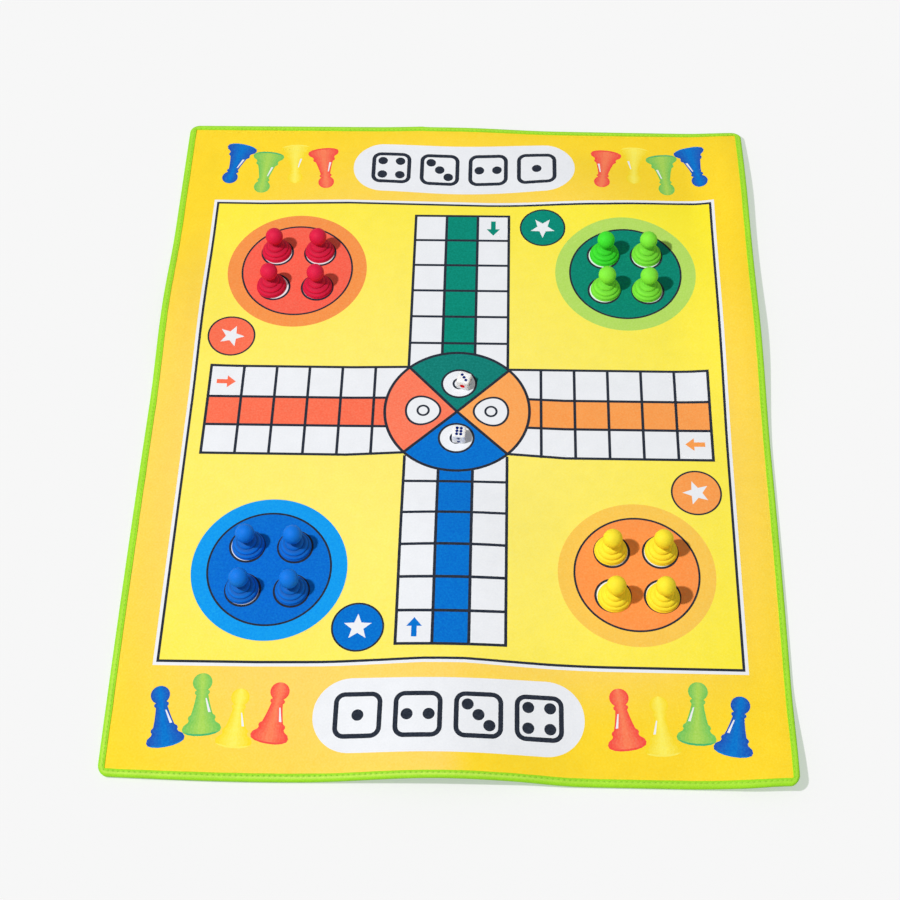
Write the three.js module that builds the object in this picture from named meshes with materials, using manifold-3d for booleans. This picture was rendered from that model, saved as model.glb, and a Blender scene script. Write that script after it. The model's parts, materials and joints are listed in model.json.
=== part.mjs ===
// Board game mat with loose pawns and dice, in millimetres, +Z up.
// The origin is the middle of the mat's underside, on the surface that the mat lies on.
// +X runs across the mat, +Y along it, away from the player at the front edge.
import * as THREE from "three";
import { RoundedBoxGeometry } from "three/addons/geometries/RoundedBoxGeometry.js";
import { mergeVertices } from "three/addons/utils/BufferGeometryUtils.js";
import Module from "manifold-3d";

// Mat
const MAT_WIDTH = 650;
const MAT_LENGTH = 800;
const FACE_THICKNESS = 1.2;
const BACKING_THICKNESS = 2.2;
const CORNER_RADIUS = 11;
const SHEET_STEP = 42;
const CORNER_STEPS = 4;

// Binding tape, folded over the edge of the mat and sewn down
const TAPE_WIDTH = 7;
const TAPE_THICKNESS = 0.6;
const TAPE_FOLD_RADIUS = 1.8;
const TAPE_INNER_CORNER_RADIUS = 1.5;
const TAPE_RAMP = 18;
const CLEARANCE = 0.3;

// Sewing thread on the tape
const THREAD_INSET = 1.5;
const THREAD_WIDTH = 0.7;
const THREAD_HEIGHT = 0.35;

// Places of the pawns: four spots in a square round the middle of each home disc
const HOME_DISC_X = 183;
const HOME_DISC_Y = 186;
const SPOT_OFFSET = 24.1;

// Pawn
const PAWN_HEIGHT = 36.5;
const HEAD_DIAMETER = 19.2;
const NECK_DIAMETER = 9.2;
const COLLAR_DIAMETER = 10.8;
const BASE_DIAMETER = 33;
const BASE_CHAMFER = 1;
const BASE_TIER_HEIGHT = 5.6;
const MIDDLE_TIER_DIAMETER = 26.8;
const MIDDLE_TIER_HEIGHT = 4.4;
const UPPER_TIER_DIAMETER = 18.8;
const UPPER_TIER_HEIGHT = 4.4;
const PAWN_SIDES = 16;
const TIER_STEPS = 2;
const HEAD_STEPS = 5;

// Dice
const DIE_SIZE = 14;
const DIE_EDGE_RADIUS = 2;
const DIE_EDGE_STEPS = 2;
const PIP_DIAMETER = 3;
const ONE_PIP_DIAMETER = 5;
const PIP_DEPTH = 0.5;
const PIP_OFFSET = 2.8;
const SIX_PIP_COLUMN = 2.1;
const SIX_PIP_ROW = 3.6;
const PIP_SIDES = 8;
const DIE_1 = { x: 6.8, y: 35.2, yaw: -14.5 };
const DIE_2 = { x: 3, y: -31.3, yaw: -3.9 };

// Swells of the cloth: it lies flat under the pawns and dice and rises between them
const QUIET_MARGIN = 4;
const FRONT_SWELL_HEIGHT = 14;
const FRONT_SWELL_REACH = 260;
const MIDDLE_SWELL_HEIGHT = 9;
const MIDDLE_SWELL_REACH = 105;
const RIGHT_SWELL_HEIGHT = 11.5;
const RIGHT_SWELL_Y = 110;
const RIGHT_SWELL_REACH = 165;
const REAR_RIGHT_SWELL_HEIGHT = 10;
const REAR_RIGHT_SWELL_Y = 295;
const REAR_RIGHT_SWELL_REACH_X = 70;
const REAR_RIGHT_SWELL_REACH_Y = 165;
const LEFT_SWELL_HEIGHT = 9;
const LEFT_SWELL_Y = 125;
const LEFT_SWELL_REACH = 120;
const CORNER_SWELL_HEIGHT = 11;
const CORNER_SWELL_REACH = 110;
const BACK_SWELL_HEIGHT = 6;
const BACK_SWELL_X = 160;
const BACK_SWELL_REACH_X = 120;
const BACK_SWELL_REACH_Y = 68;
const REAR_EDGE_SWELL_HEIGHT = 3;
const REAR_EDGE_SWELL_REACH_X = 110;
const REAR_EDGE_SWELL_REACH_Y = 90;

// Values that follow from the sizes above
const halfWidth = MAT_WIDTH / 2;
const halfLength = MAT_LENGTH / 2;
const tapeLift = TAPE_THICKNESS + CLEARANCE;
const sheetTop = BACKING_THICKNESS + FACE_THICKNESS;
const tapeTop = sheetTop + 2 * tapeLift;
const sheetInset = TAPE_FOLD_RADIUS + CLEARANCE;
const edgeBand = Math.max(CORNER_RADIUS, TAPE_WIDTH) + QUIET_MARGIN;
const pawnZone = SPOT_OFFSET + BASE_DIAMETER / 2 + QUIET_MARGIN;
const pawnOuterX = HOME_DISC_X + pawnZone;
const pawnInnerX = HOME_DISC_X - pawnZone;
const pawnOuterY = HOME_DISC_Y + pawnZone;
const pawnInnerY = HOME_DISC_Y - pawnZone;
const dieReach = DIE_SIZE * Math.SQRT1_2 + QUIET_MARGIN;
const diceZoneY = Math.max(Math.abs(DIE_1.y), Math.abs(DIE_2.y)) + dieReach;

// Each swell peaks at (x, y) and dies out at reachX and reachY from there.
const swells = [
  {
    height: FRONT_SWELL_HEIGHT,
    x: 0,
    y: -halfLength,
    reachX: pawnInnerX,
    reachY: FRONT_SWELL_REACH,
  },
  {
    height: MIDDLE_SWELL_HEIGHT,
    x: 0,
    y: -diceZoneY - MIDDLE_SWELL_REACH,
    reachX: pawnInnerX,
    reachY: MIDDLE_SWELL_REACH,
  },
  {
    height: RIGHT_SWELL_HEIGHT,
    x: halfWidth,
    y: RIGHT_SWELL_Y,
    reachX: halfWidth - pawnOuterX,
    reachY: RIGHT_SWELL_REACH,
  },
  {
    height: REAR_RIGHT_SWELL_HEIGHT,
    x: halfWidth,
    y: REAR_RIGHT_SWELL_Y,
    reachX: REAR_RIGHT_SWELL_REACH_X,
    reachY: REAR_RIGHT_SWELL_REACH_Y,
  },
  {
    height: LEFT_SWELL_HEIGHT,
    x: -halfWidth,
    y: LEFT_SWELL_Y,
    reachX: halfWidth - pawnOuterX,
    reachY: LEFT_SWELL_REACH,
  },
  {
    height: CORNER_SWELL_HEIGHT,
    x: halfWidth,
    y: -halfLength,
    reachX: CORNER_SWELL_REACH,
    reachY: CORNER_SWELL_REACH,
  },
  {
    height: BACK_SWELL_HEIGHT,
    x: BACK_SWELL_X,
    y: pawnOuterY + BACK_SWELL_REACH_Y,
    reachX: BACK_SWELL_REACH_X,
    reachY: BACK_SWELL_REACH_Y,
  },
  {
    height: REAR_EDGE_SWELL_HEIGHT,
    x: 0,
    y: halfLength,
    reachX: REAR_EDGE_SWELL_REACH_X,
    reachY: REAR_EDGE_SWELL_REACH_Y,
  },
];

// A smooth hump: 1 at its peak, 0 at its reach and beyond
function hump(distance, reach) {
  const share = Math.abs(distance) / reach;
  return share < 1 ? Math.cos((share * Math.PI) / 2) ** 2 : 0;
}

// Height of the mat's underside above the floor, from the swells alone
function swellAt(x, y) {
  let height = 0;
  for (const swell of swells) {
    height += swell.height * hump(x - swell.x, swell.reachX) * hump(y - swell.y, swell.reachY);
  }
  return height;
}

// The sheets ride up onto the tape that is folded under their edge.
function sheetLift(x, y) {
  const inset = Math.min(halfWidth - Math.abs(x), halfLength - Math.abs(y)) - sheetInset;
  const ramp = 1 - THREE.MathUtils.clamp((inset - edgeBand) / TAPE_RAMP, 0, 1);
  return swellAt(x, y) + tapeLift * ramp;
}

// Lines of the sheet's grid along one axis, with a line on each border of a flat zone
function gridLines(half, borders) {
  const edge = half - sheetInset;
  const kept = borders.filter((value) => value < edge - edgeBand);
  const positive = [...kept, edge - edgeBand, edge].sort((a, b) => a - b);
  const stops = [...positive.map((value) => -value).reverse(), ...positive];
  const lines = [stops[0]];
  for (let i = 1; i < stops.length; i++) {
    const span = stops[i] - stops[i - 1];
    const parts = Math.max(1, Math.ceil(span / SHEET_STEP));
    for (let k = 1; k <= parts; k++) {
      lines.push(stops[i - 1] + (span * k) / parts);
    }
  }
  return lines;
}

const linesX = gridLines(halfWidth, [pawnInnerX, pawnOuterX]);
const linesY = gridLines(halfLength, [diceZoneY, pawnInnerY, pawnOuterY]);

// The corner tightens from the outer edge of the tape to its inner edge.
function cornerRadiusAt(inset) {
  return THREE.MathUtils.lerp(CORNER_RADIUS, TAPE_INNER_CORNER_RADIUS, inset / TAPE_WIDTH);
}

// Points of a corner's arc at an inset from the mat's edge, turning anticlockwise
function cornerArc(signX, signY, inset) {
  const radius = cornerRadiusAt(inset);
  const centreX = signX * (halfWidth - inset - radius);
  const centreY = signY * (halfLength - inset - radius);
  const start = Math.atan2(signY, signX) - Math.PI / 4;
  const points = [];
  for (let k = 0; k <= CORNER_STEPS; k++) {
    const angle = start + (k / CORNER_STEPS) * (Math.PI / 2);
    points.push([centreX + radius * Math.cos(angle), centreY + radius * Math.sin(angle)]);
  }
  return points;
}

// The sheet's outline as polygons, anticlockwise from above, with rounded corners
function sheetPolygons() {
  const polygons = [];
  const lastX = linesX.length - 2;
  const lastY = linesY.length - 2;
  for (let i = 0; i <= lastX; i++) {
    for (let j = 0; j <= lastY; j++) {
      const [x0, x1, y0, y1] = [linesX[i], linesX[i + 1], linesY[j], linesY[j + 1]];
      const quad = [[x0, y0], [x1, y0], [x1, y1], [x0, y1]];
      if ((i !== 0 && i !== lastX) || (j !== 0 && j !== lastY)) {
        polygons.push(quad);
        continue;
      }
      const signX = i === 0 ? -1 : 1;
      const signY = j === 0 ? -1 : 1;
      const outerX = i === 0 ? x0 : x1;
      const outerY = j === 0 ? y0 : y1;
      const outer = quad.findIndex(([x, y]) => x === outerX && y === outerY);
      const arc = cornerArc(signX, signY, sheetInset);
      polygons.push([quad[(outer + 2) % 4], quad[(outer + 3) % 4], ...arc, quad[(outer + 1) % 4]]);
    }
  }
  return polygons;
}

// A closed mesh from a list of triangles, each three points
function geometryFrom(triangles) {
  const geometry = new THREE.BufferGeometry();
  geometry.setAttribute("position", new THREE.Float32BufferAttribute(triangles.flat(2), 3));
  const merged = mergeVertices(geometry);
  merged.computeVertexNormals();
  return merged;
}

// A sheet between two heights, following the lie of the mat
function sheetGeometry(low, high) {
  const at = ([x, y], height) => [x, y, sheetLift(x, y) + height];
  const triangles = [];
  const edges = new Map();
  for (const polygon of sheetPolygons()) {
    polygon.forEach((from, k) => {
      const to = polygon[(k + 1) % polygon.length];
      if (!edges.delete(`${to}|${from}`)) {
        edges.set(`${from}|${to}`, [from, to]);
      }
    });
    for (let k = 1; k < polygon.length - 1; k++) {
      const [a, b, c] = [polygon[0], polygon[k], polygon[k + 1]];
      triangles.push([at(a, high), at(b, high), at(c, high)]);
      triangles.push([at(a, low), at(c, low), at(b, low)]);
    }
  }
  for (const [from, to] of edges.values()) {
    triangles.push([at(from, low), at(to, low), at(to, high)]);
    triangles.push([at(from, low), at(to, high), at(from, high)]);
  }
  return geometryFrom(triangles);
}

// Points all round the mat at an inset from its edge, anticlockwise from above
function ringAt(inset) {
  const innerX = linesX.slice(1, -1);
  const innerY = linesY.slice(1, -1);
  const x = halfWidth - inset;
  const y = halfLength - inset;
  return [
    ...innerX.map((value) => [value, -y]),
    ...cornerArc(1, -1, inset),
    ...innerY.map((value) => [x, value]),
    ...cornerArc(1, 1, inset),
    ...innerX.toReversed().map((value) => [value, y]),
    ...cornerArc(-1, 1, inset),
    ...innerY.toReversed().map((value) => [-x, value]),
    ...cornerArc(-1, -1, inset),
  ];
}

// A band all round the mat: its section is a list of [inset, height], anticlockwise with outward to the right
function bandGeometry(section) {
  const rails = section.map(([inset, height]) =>
    ringAt(inset).map(([x, y]) => [x, y, swellAt(x, y) + height]),
  );
  const triangles = [];
  rails.forEach((rail, m) => {
    const next = rails[(m + 1) % rails.length];
    rail.forEach((a, k) => {
      const after = (k + 1) % rail.length;
      triangles.push([a, rail[after], next[after]]);
      triangles.push([a, next[after], next[k]]);
    });
  });
  return geometryFrom(triangles);
}

const tapeSection = [
  [TAPE_WIDTH, 0],
  [TAPE_FOLD_RADIUS, 0],
  [0, TAPE_FOLD_RADIUS],
  [0, tapeTop - TAPE_FOLD_RADIUS],
  [TAPE_FOLD_RADIUS, tapeTop],
  [TAPE_WIDTH, tapeTop],
  [TAPE_WIDTH, tapeTop - TAPE_THICKNESS],
  [TAPE_FOLD_RADIUS, tapeTop - TAPE_THICKNESS],
  [TAPE_THICKNESS, tapeTop - TAPE_FOLD_RADIUS],
  [TAPE_THICKNESS, TAPE_FOLD_RADIUS],
  [TAPE_FOLD_RADIUS, TAPE_THICKNESS],
  [TAPE_WIDTH, TAPE_THICKNESS],
];

const threadInner = TAPE_WIDTH - THREAD_INSET + THREAD_WIDTH / 2;
const threadOuter = threadInner - THREAD_WIDTH;
const threadLow = tapeTop + CLEARANCE;
const threadSection = [
  [threadInner, threadLow],
  [threadOuter, threadLow],
  [threadOuter, threadLow + THREAD_HEIGHT],
  [threadInner, threadLow + THREAD_HEIGHT],
];

// A rounded tier of the pawn: a quarter ellipse that starts upright and ends level
function tierCurve(outer, inner, low, height) {
  const points = [];
  for (let k = 1; k <= TIER_STEPS; k++) {
    const angle = (k / TIER_STEPS) * (Math.PI / 2);
    const radius = inner + (outer - inner) * Math.cos(angle);
    points.push(new THREE.Vector2(radius, low + height * Math.sin(angle)));
  }
  return points;
}

// The pawn stands on three stepped tiers, with a waisted neck and a ball for a head.
function pawnGeometry() {
  const base = BASE_DIAMETER / 2;
  const middle = MIDDLE_TIER_DIAMETER / 2;
  const upper = UPPER_TIER_DIAMETER / 2;
  const collar = COLLAR_DIAMETER / 2;
  const head = HEAD_DIAMETER / 2;
  const headCentre = PAWN_HEIGHT - head;
  const middleLow = BASE_TIER_HEIGHT;
  const upperLow = middleLow + MIDDLE_TIER_HEIGHT;
  const neckLow = upperLow + UPPER_TIER_HEIGHT;
  const headStart = Math.asin(collar / head);
  const headLow = headCentre - head * Math.cos(headStart);
  const profile = [
    new THREE.Vector2(0, 0),
    new THREE.Vector2(base - BASE_CHAMFER, 0),
    new THREE.Vector2(base, BASE_CHAMFER),
    ...tierCurve(base, middle, BASE_CHAMFER, BASE_TIER_HEIGHT - BASE_CHAMFER),
    ...tierCurve(middle, upper, middleLow, MIDDLE_TIER_HEIGHT),
    ...tierCurve(upper, collar, upperLow, UPPER_TIER_HEIGHT),
    new THREE.Vector2(NECK_DIAMETER / 2, (neckLow + headLow) / 2),
  ];
  for (let k = 0; k < HEAD_STEPS; k++) {
    const angle = headStart + (k / HEAD_STEPS) * (Math.PI - headStart);
    profile.push(new THREE.Vector2(head * Math.sin(angle), headCentre - head * Math.cos(angle)));
  }
  profile.push(new THREE.Vector2(0, PAWN_HEIGHT));
  const lathe = new THREE.LatheGeometry(profile, PAWN_SIDES);
  lathe.rotateX(Math.PI / 2);
  return lathe;
}

const wasm = await Module();
wasm.setup();

// A closed geometry as a solid for cutting
function solidOf(geometry) {
  const bare = new THREE.BufferGeometry();
  bare.setAttribute("position", geometry.getAttribute("position"));
  bare.setIndex(geometry.getIndex());
  const merged = mergeVertices(bare);
  const vertProperties = merged.getAttribute("position").array;
  const triVerts = new Uint32Array(merged.getIndex().array);
  return new wasm.Manifold(new wasm.Mesh({ numProp: 3, vertProperties, triVerts }));
}

// A cut solid back as a geometry
function geometryOf(solid) {
  const mesh = solid.getMesh();
  const geometry = new THREE.BufferGeometry();
  geometry.setAttribute("position", new THREE.BufferAttribute(mesh.vertProperties, 3));
  geometry.setIndex(new THREE.BufferAttribute(mesh.triVerts, 1));
  geometry.computeVertexNormals();
  return geometry;
}

// Pip places on a face, across and up from its middle
const centre = [0, 0];
const pair = [[-PIP_OFFSET, 0], [PIP_OFFSET, 0]];
const corners = [[-PIP_OFFSET, -PIP_OFFSET], [PIP_OFFSET, PIP_OFFSET]];
const otherCorners = [[-PIP_OFFSET, PIP_OFFSET], [PIP_OFFSET, -PIP_OFFSET]];
const column = (across) => [[across, -SIX_PIP_ROW], [across, 0], [across, SIX_PIP_ROW]];
const pipPlaces = {
  1: [centre],
  2: pair,
  3: [...otherCorners, centre],
  4: [...corners, ...otherCorners],
  5: [...corners, ...otherCorners, centre],
  6: [...column(-SIX_PIP_COLUMN), ...column(SIX_PIP_COLUMN)],
};

// Faces of the die before it is turned: opposite faces add up to seven.
const X = new THREE.Vector3(1, 0, 0);
const Y = new THREE.Vector3(0, 1, 0);
const Z = new THREE.Vector3(0, 0, 1);
const dieFaces = [
  { count: 1, across: X, up: Z, out: Y.clone().negate() },
  { count: 6, across: Z, up: X, out: Y },
  { count: 2, across: Y, up: Z, out: X },
  { count: 5, across: Z, up: Y, out: X.clone().negate() },
  { count: 3, across: X, up: Y, out: Z },
  { count: 4, across: Y, up: X, out: Z.clone().negate() },
];

// A rounded cube with a shallow dish for each pip
function dieGeometry() {
  const size = [DIE_SIZE, DIE_SIZE, DIE_SIZE];
  let die = solidOf(new RoundedBoxGeometry(...size, DIE_EDGE_STEPS, DIE_EDGE_RADIUS));
  for (const { count, across, up, out } of dieFaces) {
    const radius = (count === 1 ? ONE_PIP_DIAMETER : PIP_DIAMETER) / 2;
    for (const [a, b] of pipPlaces[count]) {
      const dish = new THREE.CylinderGeometry(
        radius + PIP_DEPTH,
        radius - PIP_DEPTH,
        2 * PIP_DEPTH,
        PIP_SIDES,
      );
      const turn = new THREE.Matrix4().makeBasis(across, out, across.clone().cross(out));
      const place = across.clone().multiplyScalar(a);
      place.addScaledVector(up, b);
      place.addScaledVector(out, DIE_SIZE / 2);
      dish.applyMatrix4(turn.setPosition(place));
      die = die.subtract(solidOf(dish));
    }
  }
  return geometryOf(die);
}

const root = new THREE.Group();

// Adds a named mesh with its own material to the model
function add(name, geometry, colour, roughness) {
  const material = new THREE.MeshStandardMaterial({ color: colour, roughness, metalness: 0 });
  const mesh = new THREE.Mesh(geometry, material);
  mesh.name = name;
  root.add(mesh);
  return mesh;
}

add("mat_backing", sheetGeometry(0, BACKING_THICKNESS), "#4a4d52", 0.9);
add("mat_face", sheetGeometry(BACKING_THICKNESS, sheetTop), "#feec44", 0.95);
add("edge_binding", bandGeometry(tapeSection), "#b2e63c", 0.85);
add("binding_thread", bandGeometry(threadSection), "#d7f08a", 0.8);

// How far each pawn stands from the middle of its spot: back left, back right, front left, front right
const teams = [
  {
    name: "red",
    colour: "#ea3156",
    signX: -1,
    signY: 1,
    nudges: [[-1.4, 1.4], [-0.9, 1.8], [-3.2, 0.5], [-0.1, 0]],
  },
  {
    name: "green",
    colour: "#79d944",
    signX: 1,
    signY: 1,
    nudges: [[1.6, 1.2], [0.3, 1.6], [1.6, 1], [-1, 0.4]],
  },
  {
    name: "blue",
    colour: "#147de3",
    signX: -1,
    signY: -1,
    nudges: [[2.1, 1.1], [1, 0.5], [0.5, 1.2], [1.3, 0.6]],
  },
  {
    name: "yellow",
    colour: "#fde635",
    signX: 1,
    signY: -1,
    nudges: [[-2, 1.6], [-0.4, 2.1], [0, -0.8], [-0.8, -0.5]],
  },
];
const spots = [[-1, 1], [1, 1], [-1, -1], [1, -1]];
for (const { name, colour, signX, signY, nudges } of teams) {
  spots.forEach(([spotX, spotY], k) => {
    const pawn = add(`pawn_${name}_${k + 1}`, pawnGeometry(), colour, 0.6);
    const [nudgeX, nudgeY] = nudges[k];
    const x = signX * HOME_DISC_X + spotX * SPOT_OFFSET + nudgeX;
    const y = signY * HOME_DISC_Y + spotY * SPOT_OFFSET + nudgeY;
    pawn.position.set(x, y, sheetTop);
  });
}

// Each die is turned face by face first, then about the upright axis.
const dice = [
  { name: "die_1", place: DIE_1, basis: [X, Y, Z] },
  { name: "die_2", place: DIE_2, basis: [Y.clone().negate(), Z, X.clone().negate()] },
];
for (const { name, place, basis } of dice) {
  const geometry = dieGeometry();
  geometry.applyMatrix4(new THREE.Matrix4().makeBasis(...basis));
  const die = add(name, geometry, "#e8e9ee", 0.3);
  die.position.set(place.x, place.y, sheetTop + DIE_SIZE / 2);
  die.rotation.z = THREE.MathUtils.degToRad(place.yaw);
}

export default root;
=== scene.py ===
import bisect
import json
import math

import bpy
from mathutils import Matrix, Vector
from mathutils.geometry import delaunay_2d_cdt


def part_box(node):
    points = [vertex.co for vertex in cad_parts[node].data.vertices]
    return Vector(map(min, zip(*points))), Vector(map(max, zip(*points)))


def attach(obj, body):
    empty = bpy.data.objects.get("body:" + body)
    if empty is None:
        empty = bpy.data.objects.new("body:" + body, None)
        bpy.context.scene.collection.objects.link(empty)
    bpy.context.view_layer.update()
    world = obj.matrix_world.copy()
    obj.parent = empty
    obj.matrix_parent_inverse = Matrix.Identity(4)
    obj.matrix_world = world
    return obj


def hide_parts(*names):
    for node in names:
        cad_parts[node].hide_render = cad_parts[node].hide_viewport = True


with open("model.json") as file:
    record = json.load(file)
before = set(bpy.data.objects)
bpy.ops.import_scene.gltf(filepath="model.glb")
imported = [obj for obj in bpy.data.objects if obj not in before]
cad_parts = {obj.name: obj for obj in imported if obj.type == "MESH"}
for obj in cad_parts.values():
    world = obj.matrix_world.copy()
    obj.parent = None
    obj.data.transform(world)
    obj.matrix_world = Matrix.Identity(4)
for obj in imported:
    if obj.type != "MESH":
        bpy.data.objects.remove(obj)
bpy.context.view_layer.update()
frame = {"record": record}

MM = 0.001

# Mat
HALF_WIDTH = 325 * MM
HALF_LENGTH = 400 * MM
FACE_THICKNESS = 1.2 * MM
BACKING_THICKNESS = 2.2 * MM
SHEET_TOP = FACE_THICKNESS + BACKING_THICKNESS
CORNER_RADIUS = 11 * MM
SHEET_INSET = 2.1 * MM
SHEET_STEP = 10 * MM
CORNER_STEPS = 14

# Binding tape and its stitches
TAPE_WIDTH = 7 * MM
TAPE_TOP = 5.2 * MM
TAPE_LIFT = 0.9 * MM
TAPE_INNER_CORNER_RADIUS = 1.5 * MM
TAPE_RAMP = 18 * MM
TAPE_STEP = 1.3 * MM
EDGE_BAND = 15 * MM
TAPE_CREST = 3.6 * MM
STITCH_INSET = 4.95 * MM
STITCH_PITCH = 5.2 * MM

# Out of square: how far the mat's edge lies inside its rectangle (pull) or outside it (bulge) at some
# places, and the width of border that gives way
FRONT_LEFT_PULL = 2.6 * MM
FRONT_RIGHT_PULL = 4.8 * MM
REAR_RIGHT_PULL = 7.4 * MM
REAR_LEFT_BULGE = 3.2 * MM
FRONT_LEFT_BULGE = 2.9 * MM
FRONT_RIGHT_BULGE = 1.4 * MM
PULL_MARGIN = 25 * MM
PULL_START = 50 * MM
LEFT_BULGE_X = -190 * MM
LEFT_BULGE_REACH = 190 * MM
RIGHT_BULGE_START = (60 * MM, 120 * MM)
RIGHT_BULGE_END = (270 * MM, 310 * MM)

# Flat places under the pawns and dice
PAWN_INNER_X = 138.4 * MM
PAWN_OUTER_X = 227.6 * MM
PAWN_OUTER_Y = 230.6 * MM
DICE_ZONE_Y = 49.1 * MM

# Board print: its own unit is one square of the track
CELL = 35.4 * MM


# Colours

def linear(level):
    """One channel from 0-255 as displayed to linear light."""
    share = level / 255
    return share / 12.92 if share <= 0.04045 else ((share + 0.055) / 1.055) ** 2.4


def colour(red, green, blue):
    return (linear(red), linear(green), linear(blue), 1.0)


def blend(first, second, share):
    return tuple(a + (b - a) * share for a, b in zip(first, second))


def smooth(low, high, value):
    """0 below low, 1 above high, and an even S between them."""
    share = min(max((value - low) / (high - low), 0), 1)
    return share * share * (3 - 2 * share)


# Camera, at the photograph's viewing angle

CAMERA_PLACE = Vector((37.1, -825.8, 1317.3)) * MM
CAMERA_TURN = math.radians(3.173)
CAMERA_TILT = math.radians(30.725)
CAMERA_ROLL = math.radians(-1.915)
CAMERA_LENS = 58.94
SENSOR_WIDTH = 36

camera_data = bpy.data.cameras.new("camera")
camera_data.sensor_width = SENSOR_WIDTH
camera_data.lens = CAMERA_LENS
camera = bpy.data.objects.new("camera", camera_data)
camera.matrix_world = (
    Matrix.Translation(CAMERA_PLACE)
    @ Matrix.Rotation(CAMERA_TURN, 4, "Z")
    @ Matrix.Rotation(CAMERA_TILT, 4, "X")
    @ Matrix.Rotation(CAMERA_ROLL, 4, "Z")
)
scene = bpy.context.scene
scene.collection.objects.link(camera)
scene.camera = camera
scene.view_settings.view_transform = "Standard"


# Shader nodes

def feed(tree, socket, value):
    """Sets a socket to a value, or links another node's output to it."""
    if isinstance(value, bpy.types.NodeSocket):
        tree.links.new(value, socket)
    else:
        socket.default_value = value


def add_node(tree, kind, **inputs):
    """A new node; an underscore in the name of an input stands for a space."""
    node = tree.nodes.new(kind)
    for name, value in inputs.items():
        feed(tree, node.inputs[name.replace("_", " ")], value)
    return node


def combine(tree, operation, first, second):
    """A Math node's result, for vectors if the first side is one; each side is a value or an output."""
    node = tree.nodes.new("ShaderNodeVectorMath" if isinstance(first, Vector) else "ShaderNodeMath")
    node.operation = operation
    feed(tree, node.inputs[0], first)
    feed(tree, node.inputs[1], second)
    return node.outputs[0]


def pick_by_ray(tree, lighting, seen, output):
    """One shader for the light on things, and one for what is seen straight, mirrored or through a piece."""
    ray = tree.nodes.new("ShaderNodeLightPath").outputs
    in_view = combine(tree, "MAXIMUM", ray["Is Camera Ray"], ray["Is Glossy Ray"])
    in_view = combine(tree, "MAXIMUM", in_view, ray["Is Transmission Ray"])
    pick = add_node(tree, "ShaderNodeMixShader", Fac=in_view)
    feed(tree, pick.inputs[1], lighting)
    feed(tree, pick.inputs[2], seen)
    feed(tree, tree.nodes[output].inputs["Surface"], pick.outputs[0])


# Light: one studio lamp at the front left, and an even sky

LAMP_PLACE = Vector((-0.88, -0.41, 1.66))
LAMP_POWER = 115
LAMP_RADIUS = 0.047
SKY_STRENGTH = 0.32
BACKDROP_LEVEL = 0.93
FLOOR_REACH = 6
# How much of the light the floor shows, for the camera; its green tint is a painted green bounce from the
# mat, left in the floor's shade
FLOOR_SHADE = Vector((0.53, 0.45, 0.54))

lamp_data = bpy.data.lights.new("lamp", "POINT")
lamp_data.energy = LAMP_POWER
lamp_data.shadow_soft_size = LAMP_RADIUS
lamp_data.use_nodes = True
lamp_tree = lamp_data.node_tree
# The light doesn't fade across the mat, as from a large lamp far away
falloff = add_node(lamp_tree, "ShaderNodeLightFalloff", Strength=1 / LAMP_PLACE.length_squared)
feed(lamp_tree, lamp_tree.nodes["Emission"].inputs["Strength"], falloff.outputs["Constant"])
lamp = bpy.data.objects.new("lamp", lamp_data)
lamp.location = LAMP_PLACE
scene.collection.objects.link(lamp)

world = bpy.data.worlds.new("studio")
world.use_nodes = True
scene.world = world
sky = world.node_tree.nodes["Background"]
sky.inputs["Color"].default_value = (1, 1, 1, 1)
sky.inputs["Strength"].default_value = SKY_STRENGTH
backdrop = add_node(world.node_tree, "ShaderNodeBackground", Color=(1, 1, 1, 1), Strength=BACKDROP_LEVEL)
pick_by_ray(world.node_tree, sky.outputs[0], backdrop.outputs[0], "World Output")


# Materials

# Nearly all of a noise lies between these values
NOISE_RANGE = (0.3, 0.7)


class Shader:
    """A principled material and the few kinds of node that are used here."""

    def __init__(self, name, roughness, specular=0.5):
        self.material = bpy.data.materials.new(name)
        self.material.use_nodes = True
        self.tree = self.material.node_tree
        self.surface = self.tree.nodes["Principled BSDF"]
        self.set("Roughness", roughness)
        self.set("Specular IOR Level", specular)
        self.place = self.tree.nodes.new("ShaderNodeTexCoord").outputs["Object"]

    def set(self, socket, value):
        feed(self.tree, self.surface.inputs[socket], value)

    def noise(self, scale, detail, roughness=0.5):
        """Noise over the object, with features of about 1/scale metres."""
        kind = "ShaderNodeTexNoise"
        node = add_node(self.tree, kind, Vector=self.place, Scale=scale, Detail=detail, Roughness=roughness)
        return node.outputs["Fac"]

    def spread(self, value, low, high, new_low, new_high):
        """Maps low..high of a value to new_low..new_high."""
        ends = {"From_Min": low, "From_Max": high, "To_Min": new_low, "To_Max": new_high}
        return add_node(self.tree, "ShaderNodeMapRange", Value=value, **ends).outputs["Result"]

    def speckle(self, low, high, *noise):
        """A noise from low to high."""
        return self.spread(self.noise(*noise), *NOISE_RANGE, low, high)

    def mix(self, kind, first, second, share):
        """Two colours mixed; each of them and the share is a value or an output."""
        node = self.tree.nodes.new("ShaderNodeMix")
        node.data_type = "RGBA"
        node.blend_type = kind
        for socket, value in ((0, share), (6, first), (7, second)):
            feed(self.tree, node.inputs[socket], value)
        return node.outputs[2]

    def dye(self, base, factor):
        """The colour of the surface: a value or an output, times a grey factor."""
        self.set("Base Color", self.mix("MULTIPLY", base, factor, 1))

    def product(self, first, second):
        return combine(self.tree, "MULTIPLY", first, second)

    def attribute(self, name, output):
        node = self.tree.nodes.new("ShaderNodeAttribute")
        node.attribute_name = name
        return node.outputs[output]

    def bump(self, strength, distance, *noise):
        grain = self.noise(*noise)
        node = add_node(self.tree, "ShaderNodeBump", Strength=strength, Distance=distance, Height=grain)
        self.set("Normal", node.outputs["Normal"])


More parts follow.
